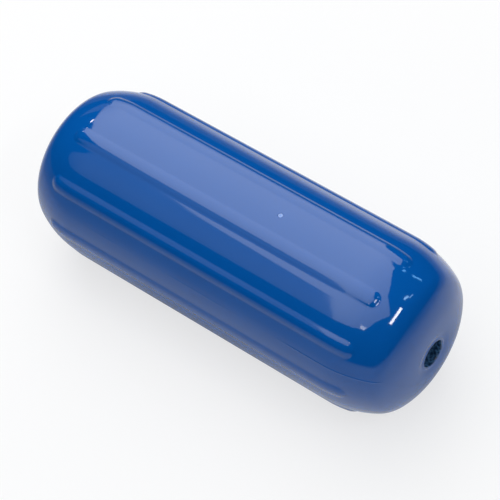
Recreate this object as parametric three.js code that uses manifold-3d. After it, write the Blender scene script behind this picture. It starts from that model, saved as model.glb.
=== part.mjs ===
// Inflatable boat fender for a small boat, lying on its side.
// One moulded vinyl body with a rope bore from end to end, low ribs along the barrel and a needle valve
// in the skin between two of the ribs.
// Millimetres, +Z up, +X along the fender. The origin is on the ground below the middle of the fender.

import * as THREE from 'three';
import { mergeVertices } from 'three/addons/utils/BufferGeometryUtils.js';
import Module from 'manifold-3d';

const wasm = await Module();
wasm.setup();

const degrees = THREE.MathUtils.degToRad;

// Overall size: six inches over the ribs, fifteen inches from rope seat to rope seat
const OUTER_DIAMETER = 152.4;
const OVERALL_LENGTH = 381;

// Ribs: low bands with sloping flanks and round ends, evenly spaced, with a bare strip along the top
const RIB_COUNT = 10;
const RIB_HEIGHT = 1.8;
const RIB_FOOT_WIDTH = 16.5;
const RIB_CROWN_WIDTH = 4.5;
const RIB_SETBACK = 34;

// Rope bore, its rounded mouth and the flat ring around it that a knot or washer bears on
const BORE_DIAMETER = 24;
const MOUTH_ROUNDING = 2.5;
const SEAT_DIAMETER = 44;

// End curve: a long sweep in from the barrel, a tighter shoulder, then a flat crown that runs to the seat
const SWEEP_RADIUS = 87;
const SWEEP_END_TILT = degrees(28);
const SHOULDER_RADIUS = 24.5;
const SHOULDER_END_TILT = degrees(58);

// Needle valve: a rubber plug, flush with the skin, with a funnel that guides the pump needle. The slit
// below the funnel closes itself, so the plug is solid there.
const VALVE_DIAMETER = 4;
const VALVE_LENGTH = 11;
const VALVE_FROM_MIDDLE = 43.5;
const FUNNEL_DIAMETER = 1.6;
const FUNNEL_DEPTH = 1;
const FIT_CLEARANCE = 0.3;

// Facets
const SWEEP_STEPS = 4;
const SHOULDER_STEPS = 4;
const CROWN_STEPS = 5;
const MOUTH_STEPS = 4;
const RIB_END_STEPS = 4;
const STRIP_STEPS = 3;
const VALVE_SEGMENTS = 24;
const SMALLEST_STEP = 1;

// Worked out from the sizes above
const BODY_RADIUS = OUTER_DIAMETER / 2 - RIB_HEIGHT;
const HALF_LENGTH = OVERALL_LENGTH / 2;
const BORE_RADIUS = BORE_DIAMETER / 2;
const SEAT_RADIUS = SEAT_DIAMETER / 2;
const SQUARE = Math.PI / 2;

/** Tangent arcs of the end curve, each with its radius, its tilts and where its centre lies. */
const [SWEEP, SHOULDER, CROWN] = endArcs();
const BARREL_END = SWEEP.centreAxial;

/**
 * The arcs from the barrel to the rope seat. Tilt is how far the skin has turned from the barrel: none
 * on the barrel and square at the seat. The crown's radius follows, so that it meets the seat's edge.
 */
function endArcs() {
  const drop = (radius, from, to) => radius * (Math.cos(from) - Math.cos(to));
  const reach = (radius, from, to) => radius * (Math.sin(to) - Math.sin(from));
  const crownFoot = BODY_RADIUS - drop(SWEEP_RADIUS, 0, SWEEP_END_TILT)
    - drop(SHOULDER_RADIUS, SWEEP_END_TILT, SHOULDER_END_TILT);
  const crownRadius = (crownFoot - SEAT_RADIUS) / Math.cos(SHOULDER_END_TILT);
  const tilts = [0, SWEEP_END_TILT, SHOULDER_END_TILT, SQUARE];
  const radii = [SWEEP_RADIUS, SHOULDER_RADIUS, crownRadius];
  const lengths = radii.map((radius, i) => reach(radius, tilts[i], tilts[i + 1]));
  let axial = HALF_LENGTH - lengths.reduce((sum, length) => sum + length, 0);
  let skin = BODY_RADIUS;
  return radii.map((radius, i) => {
    const arc = {
      radius,
      from: tilts[i],
      to: tilts[i + 1],
      centreAxial: axial - radius * Math.sin(tilts[i]),
      centreRadial: skin - radius * Math.cos(tilts[i]),
    };
    axial += lengths[i];
    skin -= drop(radius, tilts[i], tilts[i + 1]);
    return arc;
  });
}

/** Distance from the middle of the fender to where an arc has the given tilt. */
function axialAt(arc, tilt) {
  return arc.centreAxial + arc.radius * Math.sin(tilt);
}

/** Point of the skin between the ribs, a given distance from the middle, with its tilt. */
function skinAt(axial) {
  if (axial <= BARREL_END) return { axial, radial: BODY_RADIUS, tilt: 0 };
  const arc = [SWEEP, SHOULDER].find((earlier) => axial < axialAt(earlier, earlier.to)) ?? CROWN;
  const tilt = Math.asin(Math.min((axial - arc.centreAxial) / arc.radius, 1));
  return { axial, radial: arc.centreRadial + arc.radius * Math.cos(tilt), tilt };
}

/** Places along one half of the skin where the outline turns or a rib's end is shaped. */
function skinStations() {
  const along = (arc, steps) => Array.from({ length: steps }, (_, i) => (
    axialAt(arc, THREE.MathUtils.lerp(arc.from, arc.to, i / steps))
  ));
  const ribEnd = HALF_LENGTH - RIB_SETBACK;
  const ribRounding = Array.from({ length: RIB_END_STEPS + 1 }, (_, i) => (
    ribEnd - RIB_FOOT_WIDTH / 2 * (1 - i / RIB_END_STEPS)
  ));
  const turns = [
    ...along(SWEEP, SWEEP_STEPS),
    ...along(SHOULDER, SHOULDER_STEPS),
    ...along(CROWN, CROWN_STEPS),
  ];
  const spaced = turns.filter((turn) => ribRounding.every((end) => Math.abs(turn - end) > SMALLEST_STEP));
  return [...spaced, ...ribRounding].sort((a, b) => a - b);
}

/** One half of the fender's outline, from the barrel over the end and into the bore. */
function halfOutline() {
  const skin = skinStations().map(skinAt);
  const seat = { axial: HALF_LENGTH, radial: SEAT_RADIUS, tilt: SQUARE };
  const mouth = Array.from({ length: MOUTH_STEPS + 1 }, (_, i) => {
    const tilt = SQUARE * (1 + i / MOUTH_STEPS);
    return {
      axial: HALF_LENGTH - MOUTH_ROUNDING + MOUTH_ROUNDING * Math.sin(tilt),
      radial: BORE_RADIUS + MOUTH_ROUNDING + MOUTH_ROUNDING * Math.cos(tilt),
      tilt,
    };
  });
  return [...skin, seat, ...mouth];
}

/**
 * How far a rib lifts the skin.
 *
 * @param {number} axial distance from the middle of the fender
 * @param {number} across distance from the rib's centre line, along the skin
 * @returns {number} height of the rib there, none outside its foot
 */
function ribLift(axial, across) {
  const roundingCentre = HALF_LENGTH - RIB_SETBACK - RIB_FOOT_WIDTH / 2;
  const pastCentre = Math.max(Math.abs(axial) - roundingCentre, 0);
  const inside = RIB_FOOT_WIDTH / 2 - Math.hypot(pastCentre, across);
  const flank = (RIB_FOOT_WIDTH - RIB_CROWN_WIDTH) / 2;
  return RIB_HEIGHT * THREE.MathUtils.clamp(inside / flank, 0, 1);
}

/** Angles around the fender, from the top, with each one's angle from the nearest rib's centre line. */
function columns() {
  const pitch = 2 * Math.PI / RIB_COUNT;
  const foot = RIB_FOOT_WIDTH / 2 / BODY_RADIUS;
  const crown = RIB_CROWN_WIDTH / 2 / BODY_RADIUS;
  const strip = pitch - 2 * foot;
  const fromRib = [-foot, -crown, crown, foot];
  for (let i = 1; i < STRIP_STEPS; i += 1) fromRib.push(foot + strip * i / STRIP_STEPS);
  const around = [];
  for (let rib = 0; rib < RIB_COUNT; rib += 1) {
    for (const offset of fromRib) around.push({ angle: pitch * (rib + 0.5) + offset, offset });
  }
  return [...around, around[0]];
}

/** The body turned about the fender's axis, with its ribs raised from the skin. */
function ribbedBody() {
  const half = halfOutline();
  const farHalf = half.map(({ axial, radial, tilt }) => ({ axial: -axial, radial, tilt: -tilt })).reverse();
  const outline = [...farHalf, ...half, farHalf[0]];
  const around = columns();
  const profile = outline.map(({ axial, radial }) => new THREE.Vector2(radial, axial));
  const geometry = new THREE.LatheGeometry(profile, around.length - 1);
  const position = geometry.attributes.position;
  around.forEach(({ angle, offset }, column) => {
    outline.forEach(({ axial, radial, tilt }, row) => {
      const lift = Math.abs(tilt) < SQUARE ? ribLift(axial, offset * BODY_RADIUS) : 0;
      const reach = radial + lift * Math.cos(tilt);
      position.setXYZ(
        column * outline.length + row,
        axial + lift * Math.sin(tilt),
        -reach * Math.sin(angle),
        reach * Math.cos(angle),
      );
    });
  });
  return geometry;
}

/** The needle valve's plug about its own axis, with its face at the height of the skin. */
function valvePlug() {
  const faceHeight = BODY_RADIUS;
  const outline = [
    [0, -VALVE_LENGTH],
    [VALVE_DIAMETER / 2, -VALVE_LENGTH],
    [VALVE_DIAMETER / 2, 0],
    [FUNNEL_DIAMETER / 2, 0],
    [0, -FUNNEL_DEPTH],
  ].map(([radial, height]) => new THREE.Vector2(radial, faceHeight + height));
  return new THREE.LatheGeometry(outline, VALVE_SEGMENTS).rotateX(SQUARE);
}

/** The pocket that the valve's plug sits in, open at the skin. */
function valvePocket() {
  const depth = VALVE_LENGTH + FIT_CLEARANCE;
  const height = depth + RIB_HEIGHT;
  const radius = VALVE_DIAMETER / 2 + FIT_CLEARANCE;
  return new THREE.CylinderGeometry(radius, radius, height, VALVE_SEGMENTS)
    .rotateX(SQUARE)
    .translate(VALVE_FROM_MIDDLE, 0, BODY_RADIUS - depth + height / 2);
}

/** A closed solid from a geometry, with its shared corners merged. */
function solidOf(geometry) {
  const bare = geometry.clone();
  bare.deleteAttribute('normal');
  bare.deleteAttribute('uv');
  const merged = mergeVertices(bare);
  return new wasm.Manifold(new wasm.Mesh({
    numProp: 3,
    vertProperties: new Float32Array(merged.attributes.position.array),
    triVerts: new Uint32Array(merged.index.array),
  }));
}

/** A geometry from a closed solid. */
function geometryOf(solid) {
  const { vertProperties, triVerts } = solid.getMesh();
  const geometry = new THREE.BufferGeometry();
  geometry.setAttribute('position', new THREE.BufferAttribute(vertProperties, 3));
  geometry.setIndex(new THREE.BufferAttribute(triVerts, 1));
  geometry.computeVertexNormals();
  return geometry;
}

/** A named sub-part in its own material. */
function subPart(name, geometry, finish) {
  const mesh = new THREE.Mesh(geometry, new THREE.MeshStandardMaterial(finish));
  mesh.name = name;
  return mesh;
}

const body = subPart(
  'fender_body',
  geometryOf(solidOf(ribbedBody()).subtract(solidOf(valvePocket()))),
  { color: '#0a4f9c', roughness: 0.12, metalness: 0 },
);
const valve = subPart('needle_valve', valvePlug(), { color: '#d9dee6', roughness: 0.4, metalness: 0 });
valve.position.x = VALVE_FROM_MIDDLE;

body.geometry.computeBoundingBox();
const fender = new THREE.Group();
fender.add(body, valve);
fender.position.z = -body.geometry.boundingBox.min.z;

export default fender;
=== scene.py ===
"""Looks of an inflatable boat fender, built over its CAD frame.

The body is a fine mesh of the same form as the CAD body: a barrel with low ribs, domed ends and a
rope bore. A needle valve's plug sits in the bare strip along the top. The studio has a large soft box
overhead, a few small lamps, a pale floor and dark walls, which the glossy skin mirrors.
"""
import logging
import math
from dataclasses import dataclass
from enum import Enum
from typing import Optional, Sequence

import bmesh
import bpy
from mathutils import Matrix, Vector, noise


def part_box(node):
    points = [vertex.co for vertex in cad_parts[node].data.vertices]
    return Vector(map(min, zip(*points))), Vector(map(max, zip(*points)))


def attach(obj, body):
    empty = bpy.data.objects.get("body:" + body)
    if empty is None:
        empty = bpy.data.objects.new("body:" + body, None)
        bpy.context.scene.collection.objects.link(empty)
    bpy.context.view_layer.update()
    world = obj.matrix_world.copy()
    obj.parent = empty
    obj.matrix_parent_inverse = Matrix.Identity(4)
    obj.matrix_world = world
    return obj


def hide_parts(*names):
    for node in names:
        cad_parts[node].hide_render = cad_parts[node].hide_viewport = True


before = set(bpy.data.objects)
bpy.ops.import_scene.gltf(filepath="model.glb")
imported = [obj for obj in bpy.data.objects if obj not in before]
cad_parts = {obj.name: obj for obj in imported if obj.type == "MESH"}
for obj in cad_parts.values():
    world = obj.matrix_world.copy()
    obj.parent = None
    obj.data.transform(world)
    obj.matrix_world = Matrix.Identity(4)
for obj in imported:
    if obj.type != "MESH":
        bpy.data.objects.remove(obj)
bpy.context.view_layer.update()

MM = 0.001
SQUARE = math.pi / 2
WHITE = (1.0, 1.0, 1.0, 1.0)
# Sockets of the Mix node, whose names are the same for numbers and colours
NUMBER_A, NUMBER_B, NUMBER_OUT = 2, 3, 0
COLOUR_A, COLOUR_B, COLOUR_OUT = 6, 7, 2
# A reach so long that the distance along its axis doesn't count
FAR_OFF = 1e6

log = logging.getLogger("boat_fender")


def linear(hex_colour: str) -> tuple[float, float, float, float]:
    """Turns an sRGB hex colour into the linear colour that a shader takes.

    Args:
        hex_colour: Six hex digits, with or without a leading #.

    Returns:
        Red, green and blue in linear light, and an alpha of one.
    """
    digits = hex_colour.lstrip("#")
    channels = [int(digits[i : i + 2], 16) / 255 for i in (0, 2, 4)]
    red, green, blue = (
        c / 12.92 if c <= 0.04045 else ((c + 0.055) / 1.055) ** 2.4 for c in channels
    )
    return red, green, blue, 1.0


def spread(start: float, stop: float, step: float) -> list[float]:
    """Even places from start to stop, both included, at most a step apart.

    Args:
        start: First place.
        stop: Last place.
        step: Largest distance between two places.

    Returns:
        The places in order.
    """
    count = max(1, math.ceil(abs(stop - start) / step))
    return [start + (stop - start) * i / count for i in range(count + 1)]


def low_hump(inside: float, half_width: float, fillet: float) -> float:
    """The rounded section of a moulded rib, with a small hollow at its foot.

    Args:
        inside: Distance inside the foot.
        half_width: Distance from the foot to the middle.
        fillet: Width of the hollow.

    Returns:
        The height reached, from 0 at the foot to 1 in the middle.
    """
    if inside <= 0:
        return 0.0
    if inside < fillet:
        return inside**2 / (fillet * half_width)
    left = max(half_width - inside, 0.0)
    return 1 - left**2 / ((half_width - fillet) * half_width)


def add_node(
    tree: bpy.types.NodeTree,
    kind: str,
    settings: Optional[dict[str, object]] = None,
    inputs: Optional[dict[str | int, object]] = None,
) -> bpy.types.Node:
    """Adds a shader node with its settings, its values and its links.

    Args:
        tree: The node tree that the node goes into.
        kind: The node's type, as Blender names it.
        settings: Properties of the node.
        inputs: Value of each input by name or place, or the output socket that feeds it.

    Returns:
        The new node.
    """
    node = tree.nodes.new(kind)
    for name, value in (settings or {}).items():
        setattr(node, name, value)
    for name, value in (inputs or {}).items():
        if isinstance(value, bpy.types.NodeSocket):
            tree.links.new(value, node.inputs[name])
        else:
            node.inputs[name].default_value = value
    return node


def from_middle(
    tree: bpy.types.NodeTree,
    middle: tuple[float, float, float],
    reach: tuple[float, float, float],
) -> bpy.types.NodeSocket:
    """Adds the distance from a place in the object's frame, in shares of a reach along each axis.

    Args:
        tree: The node tree that it goes into.
        middle: The place, in metres.
        reach: Distance that counts as one, along X, Y and Z.

    Returns:
        The socket that gives the distance.
    """
    place = add_node(tree, "ShaderNodeTexCoord").outputs["Object"]
    centred = add_node(
        tree,
        "ShaderNodeMapping",
        settings={"vector_type": "TEXTURE"},
        inputs={"Vector": place, "Location": middle, "Scale": reach},
    )
    length = add_node(
        tree,
        "ShaderNodeVectorMath",
        settings={"operation": "LENGTH"},
        inputs={"Vector": centred.outputs["Vector"]},
    )
    return length.outputs["Value"]


def to_object(
    mesh: bmesh.types.BMesh, name: str, material: bpy.types.Material
) -> bpy.types.Object:
    """Turns built faces into a smooth-shaded object of the scene.

    Args:
        mesh: The faces, which are freed afterwards.
        name: The object's name.
        material: What it is made of.

    Returns:
        The new object.
    """
    bmesh.ops.recalc_face_normals(mesh, faces=mesh.faces)
    for face in mesh.faces:
        face.smooth = True
    data = bpy.data.meshes.new(name)
    mesh.to_mesh(data)
    mesh.free()
    data.materials.append(material)
    made = bpy.data.objects.new(name, data)
    bpy.context.scene.collection.objects.link(made)
    return made


class Ray(Enum):
    """Kinds of ray that the floor and the walls treat apart, by the Light Path output of each."""

    CAMERA = "Is Camera Ray"
    GLOSSY = "Is Glossy Ray"


@dataclass(frozen=True)
class Skin:
    """A place on the body's outline: where it is and which way it faces, in the plane of the axis."""

    axial: float
    radial: float
    tilt: float


@dataclass(frozen=True)
class MouldedVinyl:
    """Plasticised PVC, moulded against a polished mould.

    It gives a deep even blue under a skin as glossy as wet paint, with a faint orange peel. The rope
    bore is left rough, and its inside is painted nearly black as shade, mottled with lighter blotches,
    with a few glints.
    """

    colour: str = "#03529F"
    shade: str = "#034E99"
    ior: float = 1.53
    roughness: float = 0.055
    # The pigment is never mixed quite evenly
    cloud_width: float = 78 * MM
    cloud_detail: float = 2.0
    # Real orange peel is about 0.5 mm across, and it is drawn coarser to show at this distance
    peel_width: float = 2.4 * MM
    peel_height: float = 0.002 * MM
    # The bore's inside is painted dark as shade, mottled with lighter blotches
    bore_painted_shade: str = "#0E2743"
    bore_blotch_colour: str = "#45709B"
    # Levels of the noise where a lighter blotch starts and where it is full
    blotch_from: float = 0.4
    blotch_to: float = 0.65
    bore_roughness: float = 0.12
    bore_crease_width: float = 2.6 * MM
    bore_crease_height: float = 0.5 * MM
    # The bore's painted shade ends in the mouth, at these shares of the bore's radius
    painted_shade_full: float = 1.02
    painted_shade_none: float = 1.08
    bump_detail: float = 1.0
    bump_roughness: float = 0.4

    def build(self, axis_height: float, bore_radius: float) -> bpy.types.Material:
        """Makes the material.

        Args:
            axis_height: Height of the fender's axis above the ground.
            bore_radius: Radius of the rope bore.

        Returns:
            The vinyl's material.
        """
        material = bpy.data.materials.new("moulded_vinyl")
        material.use_nodes = True
        tree = material.node_tree
        surface = tree.nodes["Principled BSDF"]
        surface.inputs["IOR"].default_value = self.ior
        place = add_node(tree, "ShaderNodeTexCoord").outputs["Object"]
        off_axis = from_middle(tree, (0.0, 0.0, axis_height), (FAR_OFF, 1.0, 1.0))
        in_bore = add_node(
            tree,
            "ShaderNodeMapRange",
            inputs={
                "Value": off_axis,
                "From Min": bore_radius * self.painted_shade_none,
                "From Max": bore_radius * self.painted_shade_full,
            },
        ).outputs["Result"]
        tree.links.new(self._colour(tree, place, in_bore), surface.inputs["Base Color"])
        dull = add_node(
            tree,
            "ShaderNodeMapRange",
            inputs={"Value": in_bore, "To Min": self.roughness, "To Max": self.bore_roughness},
        )
        tree.links.new(dull.outputs["Result"], surface.inputs["Roughness"])
        peel = self._bump(tree, place, self.peel_width, self.peel_height, 1.0, None)
        creased = self._bump(
            tree, place, self.bore_crease_width, self.bore_crease_height, in_bore, peel
        )
        tree.links.new(creased, surface.inputs["Normal"])
        return material

    def _colour(
        self,
        tree: bpy.types.NodeTree,
        place: bpy.types.NodeSocket,
        in_bore: bpy.types.NodeSocket,
    ) -> bpy.types.NodeSocket:
        """Adds the blue with its faint clouds, and the bore's painted shade with its lighter blotches.

        Args:
            tree: The material's node tree.
            place: The socket that gives the place on the body, in metres.
            in_bore: The socket that is one in the bore and nothing outside it.

        Returns:
            The socket that gives the colour.
        """
        clouds = self._noise(tree, place, self.cloud_width)
        blue = add_node(
            tree,
            "ShaderNodeMix",
            settings={"data_type": "RGBA"},
            inputs={
                "Factor": clouds,
                COLOUR_A: linear(self.shade),
                COLOUR_B: linear(self.colour),
            },
        )
        blotches = add_node(
            tree,
            "ShaderNodeMapRange",
            inputs={
                "Value": self._noise(tree, place, self.bore_crease_width),
                "From Min": self.blotch_from,
                "From Max": self.blotch_to,
            },
        )
        # Painted shade in the bore, mottled with lighter blotches
        painted_bore_shade = add_node(
            tree,
            "ShaderNodeMix",
            settings={"data_type": "RGBA"},
            inputs={
                "Factor": blotches.outputs["Result"],
                COLOUR_A: linear(self.bore_painted_shade),
                COLOUR_B: linear(self.bore_blotch_colour),
            },
        )
        both = add_node(
            tree,
            "ShaderNodeMix",
            settings={"data_type": "RGBA"},
            inputs={
                "Factor": in_bore,
                COLOUR_A: blue.outputs[COLOUR_OUT],
                COLOUR_B: painted_bore_shade.outputs[COLOUR_OUT],
            },
        )
        return both.outputs[COLOUR_OUT]

    def _noise(
        self, tree: bpy.types.NodeTree, place: bpy.types.NodeSocket, width: float
    ) -> bpy.types.NodeSocket:
        """Adds a cloudy pattern of a real width.

        Args:
            tree: The material's node tree.
            place: The socket that gives the place on the body, in metres.
            width: Width of one cloud.

        Returns:
            The socket that gives the pattern's level.
        """
        clouds = add_node(
            tree,
            "ShaderNodeTexNoise",
            inputs={"Vector": place, "Scale": 1 / width, "Detail": self.cloud_detail},
        )
        return clouds.outputs["Fac"]

    def _bump(
        self,
        tree: bpy.types.NodeTree,
        place: bpy.types.NodeSocket,
        width: float,
        height: float,
        share: float | bpy.types.NodeSocket,
        below: Optional[bpy.types.NodeSocket],
    ) -> bpy.types.NodeSocket:
        """Adds a layer of smooth bumps of a real width and height.

        Args:
            tree: The material's node tree.
            place: The socket that gives the place on the body, in metres.
            width: Width of one bump.
            height: Height of the bumps.
            share: How much of the layer there is, or the socket that says so.
            below: The normal of the layer below, where there is one.

        Returns:
            The socket that gives the bumped normal.
        """
        field = add_node(
            tree,
            "ShaderNodeTexNoise",
            inputs={
                "Vector": place,
                "Scale": 1 / width,
                "Detail": self.bump_detail,
                "Roughness": self.bump_roughness,
            },
        )
        inputs = {"Height": field.outputs["Fac"], "Distance": height, "Strength": share}
        if below is not None:
            inputs["Normal"] = below
        return add_node(tree, "ShaderNodeBump", inputs=inputs).outputs["Normal"]


@dataclass(frozen=True)
class ValveRubber:
    """Moulded natural rubber of a needle valve, in a pale blue that is partly its own colour and partly
    a painted highlight.

    It gives a small pale blue satin disc in the skin, which also stands in for the plug's glint.
    """

    # Pale blue: partly the rubber's own colour, partly a painted highlight of the plug's glint
    colour: str = "#86A4DC"
    ior: float = 1.52
    roughness: float = 0.3
    grain_width: float = 0.4 * MM
    grain_height: float = 0.01 * MM

    def build(self) -> bpy.types.Material:
        """Makes the material.

        Returns:
            The rubber's material.
        """
        material = bpy.data.materials.new("moulded_rubber")
        material.use_nodes = True
        tree = material.node_tree
        surface = tree.nodes["Principled BSDF"]
        surface.inputs["Base Color"].default_value = linear(self.colour)
        surface.inputs["IOR"].default_value = self.ior
        surface.inputs["Roughness"].default_value = self.roughness
        place = add_node(tree, "ShaderNodeTexCoord").outputs["Object"]
        grain = add_node(
            tree,
            "ShaderNodeTexNoise",
            inputs={"Vector": place, "Scale": 1 / self.grain_width},
        )
        bump = add_node(
            tree,
            "ShaderNodeBump",
            inputs={"Height": grain.outputs["Fac"], "Distance": self.grain_height},
        )
        tree.links.new(bump.outputs["Normal"], surface.inputs["Normal"])
        return material


@dataclass
class NeedleValve:
    """The needle valve's plug, flush with the skin, and the pocket that it sits in."""

    from_middle: float = 43.5 * MM
    radius: float = 2.0 * MM
    length: float = 11 * MM
    rounding: float = 0.25 * MM
    funnel_radius: float = 0.8 * MM
    funnel_depth: float = 1.0 * MM
    funnel_tip_share: float = 1 / 3
    pocket_clearance: float = 0.08 * MM
    segments: int = 32
    rounding_steps: int = 5

    @property
    def pocket_radius(self) -> float:
        """Radius of the pocket in the skin."""
        return self.radius + self.pocket_clearance

    def build(self, face_height: float, finish: ValveRubber) -> bpy.types.Object:
        """Makes the plug.

        Args:
            face_height: Height of the plug's face above the ground.
            finish: What it is made of.

        Returns:
            The plug's object.
        """
        outline = self._outline()
        mesh = bmesh.new()
        rings = [
            self._ring(mesh, radial, face_height + height) for radial, height in outline[1:-1]
        ]
        tip = mesh.verts.new((self.from_middle, 0, face_height + outline[-1][1]))
        floor = mesh.verts.new((self.from_middle, 0, face_height + outline[0][1]))
        for below, above in zip(rings, rings[1:]):
            for i in range(self.segments):
                j = (i + 1) % self.segments
                mesh.faces.new((below[i], below[j], above[j], above[i]))
        for i in range(self.segments):
            j = (i + 1) % self.segments
            mesh.faces.new((floor, rings[0][j], rings[0][i]))
            mesh.faces.new((rings[-1][i], rings[-1][j], tip))
        return to_object(mesh, "needle_valve_plug", finish.build())

    def _outline(self) -> list[tuple[float, float]]:
        """The plug's outline, from its inner end up to the funnel's tip.

        Returns:
            Radius and height pairs, with heights from the plug's face.
        """
        rim = [
            (
                self.radius - self.rounding * (1 - math.cos(turn)),
                -self.rounding * (1 - math.sin(turn)),
            )
            for turn in spread(0, SQUARE, SQUARE / self.rounding_steps)
        ]
        lip = self.funnel_radius + self.rounding
        return [
            (0, -self.length),
            (self.radius, -self.length),
            *rim,
            (lip, 0),
            (self.funnel_radius, -self.rounding),
            (self.funnel_radius * self.funnel_tip_share, -self.funnel_depth),
            (0, -self.funnel_depth),
        ]

    def _ring(
        self, mesh: bmesh.types.BMesh, radial: float, height: float
    ) -> list[bmesh.types.BMVert]:
        """Adds one ring of the plug's points.

        Args:
            mesh: The plug's faces so far.
            radial: Radius of the ring.
            height: Height of the ring above the ground.

        Returns:
            The points in order around the plug.
        """
        return [
            mesh.verts.new(
                (
                    self.from_middle + radial * math.cos(turn),
                    radial * math.sin(turn),
                    height,
                )
            )
            for turn in (2 * math.pi * i / self.segments for i in range(self.segments))
        ]


@dataclass
class PartingLine:
    """The fine raised line that the mould's halves leave, along two bare strips and over the ends.

    It was trimmed nearly flush, and it still shows plainly toward the near end. On the ends it bows
    aside to pass below the rope seat.
    """

    strips_from_top: int = 2
    height: float = 0.24 * MM
    half_width: float = 0.75 * MM
    # How far from its middle the line still shows, and the mesh's columns on each side of it
    skirt: float = 2.25 * MM
    skirt_columns: int = 6
    trimmed_share: float = 0.12
    bow: float = 23 * MM
    bow_reach: float = 57 * MM
    # Radius of the dome inside which the line bows
    bow_start: float = 68.4 * MM
    bow_share: float = 0.4
    # Start, end and share of the height that is left
    stretches: tuple[tuple[float, float, float], ...] = (
        (-107 * MM, -75 * MM, 0.45),
        (-25 * MM, 40 * MM, 0.5),
        (92 * MM, 184 * MM, 1.0),
    )
    taper: float = 8 * MM

    def lift(self, skin: Skin, turn: float) -> float:
        """How far the line stands out.

        Args:
            skin: A place of the plain outline.
            turn: Angle around the axis from the parting plane.

        Returns:
            Height of the line there.
        """
        along, aside = skin.radial * math.cos(turn), skin.radial * math.sin(turn)
        if abs(along) < self.bow_reach and skin.radial < self.bow_start:
            curve = self.bow * (1 - (along / self.bow_reach) ** 2)
            slant = 2 * self.bow * along / self.bow_reach**2
            off = (aside - curve) / math.hypot(1.0, slant)
            return self.height * self.bow_share * self._ridge(off)
        if abs(aside) > self.skirt:
            return 0.0
        axial = skin.axial if along > 0 else -skin.axial
        left = self.trimmed_share
        for start, end, share in self.stretches:
            inside = min(axial - start, end - axial) / self.taper
            left = max(left, share * min(max(inside, 0.0), 1.0))
        return self.height * self._ridge(aside) * left

    def _ridge(self, off: float) -> float:
        """The line's rounded section: one in its middle, next to nothing at the skirt's edge."""
        return math.exp(-2 * (off / self.half_width) ** 2)


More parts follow.
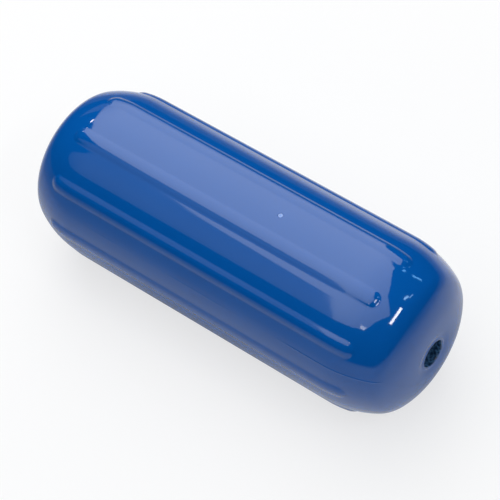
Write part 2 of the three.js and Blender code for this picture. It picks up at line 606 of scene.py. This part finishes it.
@dataclass
class FenderBody:
    """The moulded body: skin, ribs, domed ends, rope bore and the valve's pocket."""

    valve: NeedleValve
    parting: PartingLine
    radius: float = 74.4 * MM
    rib_count: int = 10
    # The frame's straight flanks and flat crown stand for one rounded section
    rib_height: float = 1.55 * MM
    rib_foot_width: float = 17.6 * MM
    rib_fillet: float = 2.4 * MM
    rib_setback: float = 34 * MM
    strip_width: float = 30.25 * MM
    wave_width: float = 26 * MM
    wave_height: float = 0.05 * MM
    bore_radius: float = 12 * MM
    mouth_rounding: float = 1.4 * MM
    mouth_drop: float = 0.25 * MM
    seat_radius: float = 22 * MM
    seat_dip: float = 0.75 * MM
    dip_radius: float = 14.7 * MM
    sweep_radius: float = 87 * MM
    sweep_end_tilt: float = math.radians(28)
    shoulder_radius: float = 24.5 * MM
    shoulder_end_tilt: float = math.radians(58)
    # Its weight presses this middle share of the strip underneath flat
    flat_share: float = 1 / 3
    pocket_rim: float = 0.2 * MM
    # The square of cells that the valve's pocket is cut from
    patch_half: float = 4 * MM
    patch_cells: int = 8
    # Rows of points: on the barrel, where the ribs end, on the end curve, around the mouth, in the bore
    barrel_start: float = 3 * MM
    barrel_step: float = 7 * MM
    rib_end_step: float = 0.5 * MM
    row_gap: float = 0.3 * MM
    curve_step: float = 1.6 * MM
    crown_step: float = 1.0 * MM
    dip_steps: int = 8
    # The lip's rounding starts at this share of a square turn, which leaves a faint edge around it
    lip_start: float = 0.62
    lip_steps: int = 7
    bore_step: float = 22 * MM
    bore_end: float = 8 * MM
    # Columns of points: on the strips, on the flanks of the ribs and on their tops
    strip_step: float = 3.6 * MM
    flank_step: float = 0.6 * MM
    crest_step: float = 1.1 * MM

    def __post_init__(self) -> None:
        """Takes the length from the CAD body and works out the arcs of the end curve."""
        low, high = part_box("fender_body")
        self.half_length = (high[0] - low[0]) / 2
        self.pitch = 2 * math.pi / self.rib_count
        tilts = [0.0, self.sweep_end_tilt, self.shoulder_end_tilt, SQUARE]
        radii = [self.sweep_radius, self.shoulder_radius]
        foot = self.radius - sum(
            arc * (math.cos(a) - math.cos(b)) for arc, a, b in zip(radii, tilts, tilts[1:])
        )
        radii.append((foot - self.seat_radius) / math.cos(self.shoulder_end_tilt))
        reach = sum(arc * (math.sin(b) - math.sin(a)) for arc, a, b in zip(radii, tilts, tilts[1:]))
        self.barrel_end = self.half_length - reach
        self.arcs: list[tuple[float, float, float, float, float]] = []
        axial, radial = self.barrel_end, self.radius
        for arc, a, b in zip(radii, tilts, tilts[1:]):
            self.arcs.append((arc, a, b, axial - arc * math.sin(a), radial - arc * math.cos(a)))
            axial += arc * (math.sin(b) - math.sin(a))
            radial -= arc * (math.cos(a) - math.cos(b))

    def build(self, finish: MouldedVinyl) -> bpy.types.Object:
        """Makes the body.

        Args:
            finish: What it is made of.

        Returns:
            The body's object.
        """
        outline = self._outline()
        around = self._columns()
        mesh = bmesh.new()
        grid = [
            [mesh.verts.new(self._point(skin, angle)) for angle in around] for skin in outline
        ]
        rows, columns = self._pocket_cells(outline, around)
        for row, (here, there) in enumerate(zip(grid, grid[1:] + grid[:1])):
            for column in range(len(around)):
                if row in rows and column in columns:
                    continue
                beside = (column + 1) % len(around)
                mesh.faces.new((here[column], here[beside], there[beside], there[column]))
        self._cut_pocket(mesh, grid, rows, columns)
        return to_object(
            mesh, "ribbed_vinyl_body", finish.build(self.axis_height, self.bore_radius)
        )

    def lift(self, skin: Skin, angle: float) -> float:
        """How far the skin stands out from the plain body by its ribs, its waves and the parting line.

        Args:
            skin: A place of the plain outline.
            angle: Angle around the axis from the top.

        Returns:
            Distance from the plain skin.
        """
        rib_turn = (angle / self.pitch) % 1.0 - 0.5
        rounding_centre = self.half_length - self.rib_setback - self.rib_foot_width / 2
        past = max(abs(skin.axial) - rounding_centre, 0.0)
        inside = self.rib_foot_width / 2 - math.hypot(past, rib_turn * self.pitch * self.radius)
        rib = self.rib_height * low_hump(inside, self.rib_foot_width / 2, self.rib_fillet)
        around = Vector((skin.axial, skin.radial * math.sin(angle), skin.radial * math.cos(angle)))
        # The waves only sink in, so the skin keeps its size
        wave = self.wave_height * (noise.noise(around / self.wave_width) - 1) / 2
        plane = self.parting.strips_from_top * self.pitch
        return rib + wave + self.parting.lift(skin, angle - plane)

    def _point(self, skin: Skin, angle: float) -> Vector:
        """The point of the skin, kept inside the frame's length and above the ground.

        Args:
            skin: A place of the plain outline.
            angle: Angle around the axis from the top.

        Returns:
            The point in the scene.
        """
        lift = self.lift(skin, angle) if abs(skin.tilt) < SQUARE else 0.0
        along = skin.axial + lift * math.sin(skin.tilt)
        radial = skin.radial + lift * math.cos(skin.tilt)
        height = self.axis_height + radial * math.cos(angle)
        return Vector(
            (
                min(max(along, -self.half_length), self.half_length),
                -radial * math.sin(angle),
                # Its weight presses a narrow flat where it lies
                max(height, 0.0),
            )
        )

    @property
    def axis_height(self) -> float:
        """Height of the axis above the ground, with the strip underneath pressed flat."""
        return self.radius * math.cos(self.strip_width * self.flat_share / 2 / self.radius)

    def _outline(self) -> list[Skin]:
        """The closed outline, from the middle of the bore over the far end and the near end.

        Returns:
            The places of the outline in order.
        """
        near = self._half_outline()
        far = [Skin(-skin.axial, skin.radial, -skin.tilt) for skin in reversed(near)]
        return far + near

    def _half_outline(self) -> list[Skin]:
        """One half of the outline, from near the middle of the barrel to near that of the bore.

        Returns:
            The places of the outline in order.
        """
        ends = self.half_length - self.rib_setback
        fine = spread(ends - self.rib_foot_width / 2, ends, self.rib_end_step)
        start = self.valve.from_middle - self.patch_half
        pocket = spread(start, start + 2 * self.patch_half, 2 * self.patch_half / self.patch_cells)
        barrel = spread(self.barrel_start, pocket[0], self.barrel_step)[:-1] + pocket
        barrel += spread(pocket[-1], fine[0], self.barrel_step)[1:]
        skins = [self._skin_at(axial) for axial in barrel + fine[1:]]
        for arc, a, b, axial, radial in self.arcs:
            step = self.curve_step if b < SQUARE else self.crown_step
            for tilt in spread(a, b, step / arc)[1:]:
                skin = Skin(axial + arc * math.sin(tilt), radial + arc * math.cos(tilt), tilt)
                if skin.axial > fine[-1] + self.row_gap:
                    skins.append(skin)
        seat = self.seat_radius - self.dip_radius
        for step in range(self.dip_steps):
            dip = (step + 1) / self.dip_steps
            fall = self.seat_dip * dip * dip * (3 - 2 * dip)
            skins.append(Skin(self.half_length - fall, self.seat_radius - seat * dip, SQUARE))
        lip = self.half_length - self.mouth_drop - self.mouth_rounding
        for tilt in spread(SQUARE * self.lip_start, 2 * SQUARE, SQUARE / self.lip_steps):
            out = lip + self.mouth_rounding * math.sin(tilt)
            aside = self.bore_radius + self.mouth_rounding * (1 + math.cos(tilt))
            skins.append(Skin(out, aside, max(tilt, SQUARE)))
        inner = spread(lip, self.bore_end, self.bore_step)[1:]
        return skins + [Skin(axial, self.bore_radius, 2 * SQUARE) for axial in inner]

    def _skin_at(self, axial: float) -> Skin:
        """The plain skin between the ribs.

        Args:
            axial: Distance from the middle of the fender.

        Returns:
            The place of the outline there.
        """
        if axial <= self.barrel_end:
            return Skin(axial, self.radius, 0.0)
        for arc, _, end, centre_axial, centre_radial in self.arcs:
            tilt = math.asin(min((axial - centre_axial) / arc, 1.0))
            if tilt <= end:
                break
        return Skin(axial, centre_radial + arc * math.cos(tilt), tilt)

    def _columns(self) -> list[float]:
        """The columns of points, close on the flanks, the parting line and the pocket.

        Returns:
            Their angles around the axis from the top.
        """
        flank_out = self.rib_foot_width / 2
        shoulder = flank_out - 2 * self.rib_fillet
        half_pitch = self.pitch / 2 * self.radius
        beside = self.parting.skirt_columns
        seam = [self.parting.skirt * i / beside for i in range(-beside, beside + 1)]
        seam_strips = [self.parting.strips_from_top + half * self.rib_count / 2 for half in (0, 1)]
        pocket = [
            (2 * i / self.patch_cells - 1) * self.patch_half for i in range(self.patch_cells + 1)
        ]
        angles: list[float] = []
        for strip in range(self.rib_count):
            middle: Sequence[float] = (0.0,)
            if strip == 0:
                middle = pocket
            if strip in seam_strips:
                middle = seam
            side = spread(middle[-1], half_pitch - flank_out, self.strip_step)[1:]
            flank = spread(flank_out, shoulder, self.flank_step)[1:]
            flank += spread(shoulder, 0.0, self.crest_step)[1:]
            half = side + [half_pitch - across for across in flank]
            places = [-place for place in reversed(half[:-1])] + list(middle) + half
            angles += [strip * self.pitch + place / self.radius for place in places]
        return angles

    def _pocket_cells(
        self, outline: Sequence[Skin], around: Sequence[float]
    ) -> tuple[range, range]:
        """Finds the cells that the valve's pocket takes the place of.

        Args:
            outline: The rows of points.
            around: Angles of the columns of points.

        Returns:
            The rows and the columns of the cells.
        """
        start = self.valve.from_middle - self.patch_half
        first_row = min(
            (i for i, skin in enumerate(outline) if abs(skin.tilt) < SQUARE),
            key=lambda i: abs(outline[i].axial - start),
        )
        first_column = min(
            range(len(around)), key=lambda i: abs(around[i] * self.radius + self.patch_half)
        )
        return (
            range(first_row, first_row + self.patch_cells),
            range(first_column, first_column + self.patch_cells),
        )

    def _cut_pocket(
        self,
        mesh: bmesh.types.BMesh,
        grid: list[list[bmesh.types.BMVert]],
        rows: range,
        columns: range,
    ) -> None:
        """Joins the square hole in the grid to a round pocket with a rounded rim.

        Args:
            mesh: The body's faces so far.
            grid: Its points, by row and column.
            rows: Rows of cells that are left out.
            columns: Columns of cells that are left out.
        """
        last_row, last_column = rows[-1] + 1, columns[-1] + 1
        edge = [grid[rows[0]][c] for c in columns]
        edge += [grid[r][last_column] for r in rows]
        edge += [grid[last_row][c] for c in range(last_column, columns[0], -1)]
        edge += [grid[r][columns[0]] for r in range(last_row, rows[0], -1)]
        inside = [grid[r][c] for r in rows[1:] for c in columns[1:]]
        bmesh.ops.delete(mesh, geom=inside, context="VERTS")
        rim = self.pocket_rim
        hole = self.valve.pocket_radius
        from_square_to_round = (0.35, 0.7, 1.0)
        rim_turns = (math.radians(50), math.radians(20), 0.0)
        # How round each ring is, how deep it lies and its radius
        steps = [(share, 0.0, hole + rim) for share in from_square_to_round]
        steps += [
            (1.0, rim * (1 - math.sin(turn)), hole + rim * (1 - math.cos(turn)))
            for turn in rim_turns
        ]
        steps.append((1.0, self.valve.length, hole))
        middle = Vector((self.valve.from_middle, 0, 0))
        flat = [Vector((v.co.x, v.co.y, 0)) - middle for v in edge]
        previous = edge
        for share, depth, radius in steps:
            ring = []
            for place in flat:
                spot = middle + place.lerp(place.normalized() * radius, share)
                height = self.axis_height + math.sqrt(self.radius**2 - spot.y**2) - depth
                ring.append(mesh.verts.new((spot.x, spot.y, height)))
            for i in range(len(ring)):
                j = (i + 1) % len(ring)
                mesh.faces.new((previous[i], previous[j], ring[j], ring[i]))
            previous = ring
        mesh.faces.new(previous)


@dataclass(frozen=True)
class LightPanel:
    """A soft box or strip lamp: a flat bright sheet overhead that only reflections and the shading see.

    Places are in metres in the studio's own frame, whose origin is the middle of the fender and whose Z
    is the photographer's upright.
    """

    name: str
    outline: tuple[tuple[float, float], ...]
    brightness: float
    height: float = 1.5
    colour: str = "#FFFFFF"
    # A soft box is brightest around its bulb: that place, how far its glow reaches, and the share of
    # the brightness that is left there
    bulb: tuple[float, float] = (0.0, 0.0)
    glow: tuple[float, float] = (1.0, 1.0)
    rim_share: float = 1.0
    mirrored: bool = True

    def build(self, studio: Matrix) -> None:
        """Makes the panel.

        Args:
            studio: The studio's frame in the scene.
        """
        mesh = bmesh.new()
        mesh.faces.new([mesh.verts.new((x, y, self.height)) for x, y in self.outline])
        panel = to_object(mesh, self.name, self._light())
        panel.matrix_world = studio
        panel.visible_camera = False
        panel.visible_shadow = False
        panel.visible_glossy = self.mirrored

    def _light(self) -> bpy.types.Material:
        """Makes the panel's light, brightest at the bulb.

        Returns:
            The light's material.
        """
        material = bpy.data.materials.new(self.name)
        material.use_nodes = True
        tree = material.node_tree
        tree.nodes.remove(tree.nodes["Principled BSDF"])
        fall = from_middle(tree, (*self.bulb, 0.0), (*self.glow, FAR_OFF))
        strength = add_node(
            tree,
            "ShaderNodeMapRange",
            settings={"interpolation_type": "SMOOTHSTEP"},
            inputs={
                "Value": fall,
                "From Min": 0.0,
                "From Max": 1.0,
                "To Min": self.brightness,
                "To Max": self.brightness * self.rim_share,
            },
        )
        light = add_node(
            tree,
            "ShaderNodeEmission",
            inputs={"Color": linear(self.colour), "Strength": strength.outputs["Result"]},
        )
        tree.links.new(light.outputs["Emission"], tree.nodes["Material Output"].inputs["Surface"])
        return material


@dataclass(frozen=True)
class FloorPool:
    """A pool of light or shade on the floor: even in its core, then fading out."""

    middle: tuple[float, float]
    reach: tuple[float, float]
    core: float
    edge: float
    share: float

    def build(self, tree: bpy.types.NodeTree) -> bpy.types.NodeSocket:
        """Adds how strong the pool is at each place of the floor.

        Args:
            tree: The floor's node tree.

        Returns:
            The socket that gives the strength.
        """
        fade = add_node(
            tree,
            "ShaderNodeMapRange",
            settings={"interpolation_type": "SMOOTHSTEP"},
            inputs={
                "Value": from_middle(tree, (*self.middle, 0.0), (*self.reach, FAR_OFF)),
                "From Min": self.core,
                "From Max": self.edge,
                "To Min": self.share,
                "To Max": 0.0,
            },
        )
        return fade.outputs["Result"]


@dataclass
class Studio:
    """The floor, the lamps, the walls and the camera."""

    axis_height: float
    # The photographed fender lay turned about its axis from where it comes to rest
    turn: float = math.radians(-7.5)
    azimuth: float = math.radians(37.86)
    elevation: float = math.radians(47.03)
    distance: float = 1776 * MM
    aim_along: float = 5.2 * MM
    aim_up: float = -0.15 * MM
    lens_over_width: float = 2133 / 500
    sensor_width: float = 36.0
    window_colour: str = "#7CCBFF"
    door_colour: str = "#A8DCFF"
    floor_size: float = 12.0
    floor_colour: str = "#E8E9EA"
    # What the skin mirrors: the floor around the fender, the floor in front, the fender's own shade
    main_pool: FloorPool = FloorPool(
        middle=(0.10, 0.085), reach=(0.83, 0.71), core=0.2, edge=1.19, share=0.86
    )
    front_pool: FloorPool = FloorPool(
        middle=(0.39, -0.59), reach=(1.07, 1.84), core=-0.4, edge=1.5, share=0.65
    )
    shade: FloorPool = FloorPool(
        middle=(-0.03, 0.033), reach=(0.32, 0.165), core=0.45, edge=1.05, share=0.86
    )
    # The vinyl throws some of its blue on the floor beneath it
    shade_colour: str = "#DCE9FF"
    mirrored_fill: float = 0.13
    # What the camera sees: how white the floor is beside the fender, and where it is all white
    white_share: float = 0.7
    white_from: float = 0.2
    white_to: float = 0.62
    wall_colour: str = "#0A1226"

    @property
    def frame(self) -> Matrix:
        """The photographer's frame in the scene, as the matrix that takes it there."""
        lifted = Matrix.Translation((0, 0, self.axis_height))
        return lifted @ Matrix.Rotation(self.turn, 4, "X")

    def build(self) -> None:
        """Makes the floor, the lamps, the world and the camera."""
        self._floor()
        for panel in self._panels():
            panel.build(self.frame)
        self._world()
        self._camera()
        bpy.context.scene.view_settings.view_transform = "Standard"

    def _panels(self) -> list[LightPanel]:
        """The lamps overhead, with the outlines that the skin's reflections show.

        Returns:
            The panels.
        """
        return [
            LightPanel(
                name="soft_box",
                outline=(
                    (-1.80, 4.95), (-0.57, 1.45), (0.02, 1.02), (0.30, 0.42), (0.52, -0.05),
                    (0.98, -0.55), (0.78, -1.12), (0.72, -1.90), (0.30, -2.15), (-0.20, -2.35),
                    (-0.95, -2.55), (-0.62, -1.13), (-1.00, -0.86), (-1.10, -0.50), (-1.46, 0.00),
                    (-2.18, 1.00), (-2.90, 2.00), (-3.60, 3.60), (-3.30, 5.20),
                ),
                brightness=2.8,
                bulb=(-0.9, 0.5),
                glow=(2.4, 4.2),
                rim_share=0.42,
            ),
            LightPanel(
                name="soft_box_skirt",
                outline=(
                    (-0.62, -1.13), (-0.95, -2.55), (-1.90, -2.68), (-3.00, -2.60), (-3.05, -1.75),
                    (-2.40, -1.28), (-1.00, -0.86),
                ),
                brightness=0.58,
                bulb=(-0.6, -1.9),
                glow=(2.6, 3.0),
                rim_share=0.4,
            ),
            LightPanel(
                name="soft_box_wing",
                outline=((-4.50, 1.30), (-2.78, 1.50), (-2.90, 2.00), (-3.60, 3.60), (-4.50, 3.30)),
                brightness=0.3,
            ),
            LightPanel(
                name="strip_lamp",
                outline=((1.00, -0.02), (1.20, -0.88), (1.33, -0.86), (1.13, 0.00)),
                brightness=20.0,
            ),
            LightPanel(
                name="spot_lamp",
                outline=((0.42, -1.70), (0.44, -2.00), (0.66, -2.02), (0.68, -1.72)),
                brightness=9.0,
            ),
            LightPanel(
                name="far_spot_lamp",
                outline=((-2.12, 0.44), (-1.94, 0.42), (-1.94, 0.60), (-2.12, 0.62)),
                brightness=16.0,
            ),
            LightPanel(
                name="window_pane",
                outline=((0.52, 1.46), (0.60, 1.38), (0.92, 1.78), (0.86, 1.88)),
                brightness=8.0,
                colour=self.window_colour,
            ),
            LightPanel(
                name="window_slit",
                outline=((0.24, 1.16), (0.32, 1.16), (0.32, 1.32), (0.24, 1.32)),
                brightness=8.0,
                colour=self.window_colour,
            ),
            LightPanel(
                name="door_pane",
                outline=((0.86, 0.28), (0.94, 0.28), (0.96, 0.50), (0.90, 0.52)),
                brightness=10.0,
                colour=self.door_colour,
            ),
            LightPanel(
                name="door_slit",
                outline=((0.98, 0.48), (1.03, 0.48), (1.03, 0.72), (0.99, 0.72)),
                brightness=10.0,
                colour=self.door_colour,
            ),
            # Soft light from the other half of the studio, which the skin doesn't mirror
            LightPanel(
                name="fill_box",
                outline=((1.2, -2.4), (3.4, -2.0), (3.4, 2.2), (1.2, 2.6)),
                brightness=0.5,
                mirrored=False,
            ),
        ]

    def _floor(self) -> None:
        """The pale floor that the fender lies on, with a glow that rays of some kinds see."""
        half = self.floor_size / 2
        mesh = bmesh.new()
        corners = [(-half, -half), (half, -half), (half, half), (-half, half)]
        mesh.faces.new([mesh.verts.new((x, y, 0)) for x, y in corners])
        material = bpy.data.materials.new("painted_floor")
        material.use_nodes = True
        tree = material.node_tree
        tree.nodes.remove(tree.nodes["Principled BSDF"])
        path = add_node(tree, "ShaderNodeLightPath")
        matt = add_node(tree, "ShaderNodeBsdfDiffuse", inputs={"Color": linear(self.floor_colour)})
        both = add_node(
            tree,
            "ShaderNodeMixShader",
            inputs={
                "Fac": self._glow_share(tree, path),
                1: matt.outputs["BSDF"],
                2: self._glow(tree, path),
            },
        )
        tree.links.new(both.outputs["Shader"], tree.nodes["Material Output"].inputs["Surface"])
        to_object(mesh, "studio_floor", material)

    def _glow_share(
        self, tree: bpy.types.NodeTree, path: bpy.types.Node
    ) -> bpy.types.NodeSocket:
        """Adds how much of the floor is glow: all of it in the skin, and to the camera more further out.

        Args:
            tree: The floor's node tree.
            path: The node that tells the kinds of ray apart.

        Returns:
            The socket that gives the share.
        """
        whitening = add_node(
            tree,
            "ShaderNodeMapRange",
            settings={"interpolation_type": "SMOOTHSTEP"},
            inputs={
                "Value": from_middle(tree, (0.0, 0.0, 0.0), (1.0, 1.0, 1.0)),
                "From Min": self.white_from,
                "From Max": self.white_to,
                "To Min": self.white_share,
                "To Max": 1.0,
            },
        )
        seen = add_node(
            tree,
            "ShaderNodeMath",
            settings={"operation": "MULTIPLY"},
            inputs={0: whitening.outputs["Result"], 1: path.outputs[Ray.CAMERA.value]},
        )
        shown = add_node(
            tree,
            "ShaderNodeMath",
            settings={"operation": "MAXIMUM"},
            inputs={0: path.outputs[Ray.GLOSSY.value], 1: seen.outputs["Value"]},
        )
        return shown.outputs["Value"]

    def _glow(self, tree: bpy.types.NodeTree, path: bpy.types.Node) -> bpy.types.NodeSocket:
        """Adds the glow: white to the camera, and the pools and the fender's shade in the skin.

        Args:
            tree: The floor's node tree.
            path: The node that tells the kinds of ray apart.

        Returns:
            The glow's shader socket.
        """
        glossy = path.outputs[Ray.GLOSSY.value]
        pools = add_node(
            tree,
            "ShaderNodeMath",
            settings={"operation": "MAXIMUM"},
            inputs={0: self.main_pool.build(tree), 1: self.front_pool.build(tree)},
        )
        shade = self.shade.build(tree)
        unshaded = add_node(
            tree,
            "ShaderNodeMath",
            settings={"operation": "SUBTRACT"},
            inputs={0: 1.0, 1: shade},
        )
        mirrored = add_node(
            tree,
            "ShaderNodeMath",
            settings={"operation": "MULTIPLY_ADD"},
            inputs={
                0: pools.outputs["Value"],
                1: unshaded.outputs["Value"],
                2: self.mirrored_fill,
            },
        )
        brightness = add_node(
            tree,
            "ShaderNodeMix",
            settings={"data_type": "FLOAT"},
            inputs={0: glossy, NUMBER_A: 1.0, NUMBER_B: mirrored.outputs["Value"]},
        )
        mirrored_shade = add_node(
            tree,
            "ShaderNodeMath",
            settings={"operation": "MULTIPLY"},
            inputs={0: shade, 1: glossy},
        )
        colour = add_node(
            tree,
            "ShaderNodeMix",
            settings={"data_type": "RGBA"},
            inputs={
                "Factor": mirrored_shade.outputs["Value"],
                COLOUR_A: WHITE,
                COLOUR_B: linear(self.shade_colour),
            },
        )
        light = add_node(
            tree,
            "ShaderNodeEmission",
            inputs={
                "Color": colour.outputs[COLOUR_OUT],
                "Strength": brightness.outputs[NUMBER_OUT],
            },
        )
        return light.outputs["Emission"]

    def _world(self) -> None:
        """White to the camera, and dark walls to everything else."""
        world = bpy.data.worlds.new("studio_walls")
        bpy.context.scene.world = world
        world.use_nodes = True
        tree = world.node_tree
        path = add_node(tree, "ShaderNodeLightPath")
        walls = tree.nodes["Background"]
        walls.inputs["Color"].default_value = linear(self.wall_colour)
        white = add_node(tree, "ShaderNodeBackground", inputs={"Color": WHITE, "Strength": 1.0})
        both = add_node(
            tree,
            "ShaderNodeMixShader",
            inputs={
                "Fac": path.outputs[Ray.CAMERA.value],
                1: walls.outputs["Background"],
                2: white.outputs["Background"],
            },
        )
        tree.links.new(both.outputs["Shader"], tree.nodes["World Output"].inputs["Surface"])

    def _camera(self) -> None:
        """The camera where the photographer's stood."""
        a, e = self.azimuth, self.elevation
        right = Vector((math.cos(a), math.sin(a), 0))
        back = Vector((math.sin(a) * math.cos(e), -math.cos(a) * math.cos(e), math.sin(e)))
        up = back.cross(right)
        aim = Vector((self.aim_along, 0, 0)) + up * self.aim_up
        turned = Matrix((right, up, back)).transposed().to_4x4()
        data = bpy.data.cameras.new("camera")
        data.sensor_width = self.sensor_width
        data.lens = self.lens_over_width * data.sensor_width
        camera = bpy.data.objects.new("camera", data)
        camera.matrix_world = self.frame @ Matrix.Translation(aim + back * self.distance) @ turned
        bpy.context.scene.collection.objects.link(camera)
        bpy.context.scene.camera = camera


def main() -> None:
    """Builds the fender and its studio."""
    logging.basicConfig(level=logging.INFO, format="%(name)s: %(message)s")
    valve = NeedleValve()
    body = FenderBody(valve=valve, parting=PartingLine())

    skin = body.build(MouldedVinyl())
    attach(skin, "root")
    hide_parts("fender_body")
    log.info("%s: %d faces", skin.name, len(skin.data.polygons))

    plug = valve.build(body.axis_height + body.radius, ValveRubber())
    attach(plug, "root")
    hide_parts("needle_valve")
    log.info("%s: %d faces", plug.name, len(plug.data.polygons))

    Studio(axis_height=body.axis_height).build()
    log.info("studio: floor, lamps, walls and camera")


if __name__ == "__main__":
    main()
